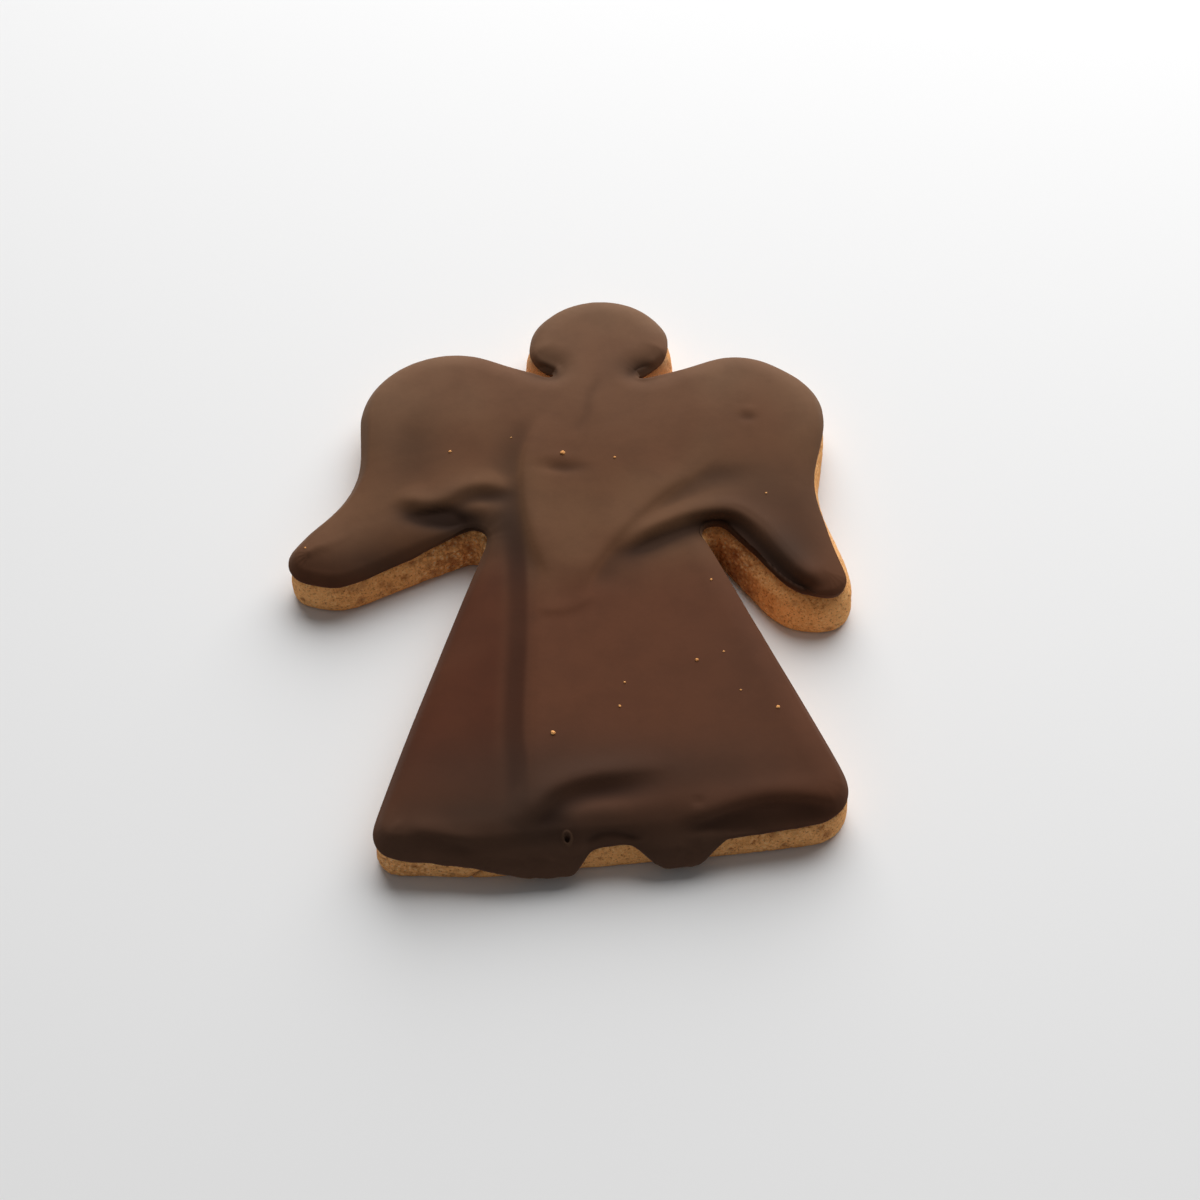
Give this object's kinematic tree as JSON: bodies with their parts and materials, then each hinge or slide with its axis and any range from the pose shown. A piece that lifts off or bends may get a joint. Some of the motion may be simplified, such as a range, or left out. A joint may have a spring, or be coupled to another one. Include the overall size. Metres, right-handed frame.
{
  "type": "gingerbread angel cookie",
  "caption": "Flat angel-shaped gingerbread biscuit with spread wings and a flared robe, coated on top with dark chocolate that drips at the hem.",
  "frame": {"origin": "middle of the bounding box at the floor, under the biscuit's flat underside", "axes": "+Y towards the head, +Z out of the chocolate-coated face, +X towards the wing on the right of the picture"},
  "size_m": [0.0946, 0.1204, 0.0111],
  "materials": {
    "gingerbread": "baked crumb, matte, with fine pores",
    "dark_chocolate": "set dark chocolate, satin"
  },
  "bodies": {
    "root": {"biscuit": "gingerbread", "chocolate_coat": "dark_chocolate"}
  },
  "joints": []
}
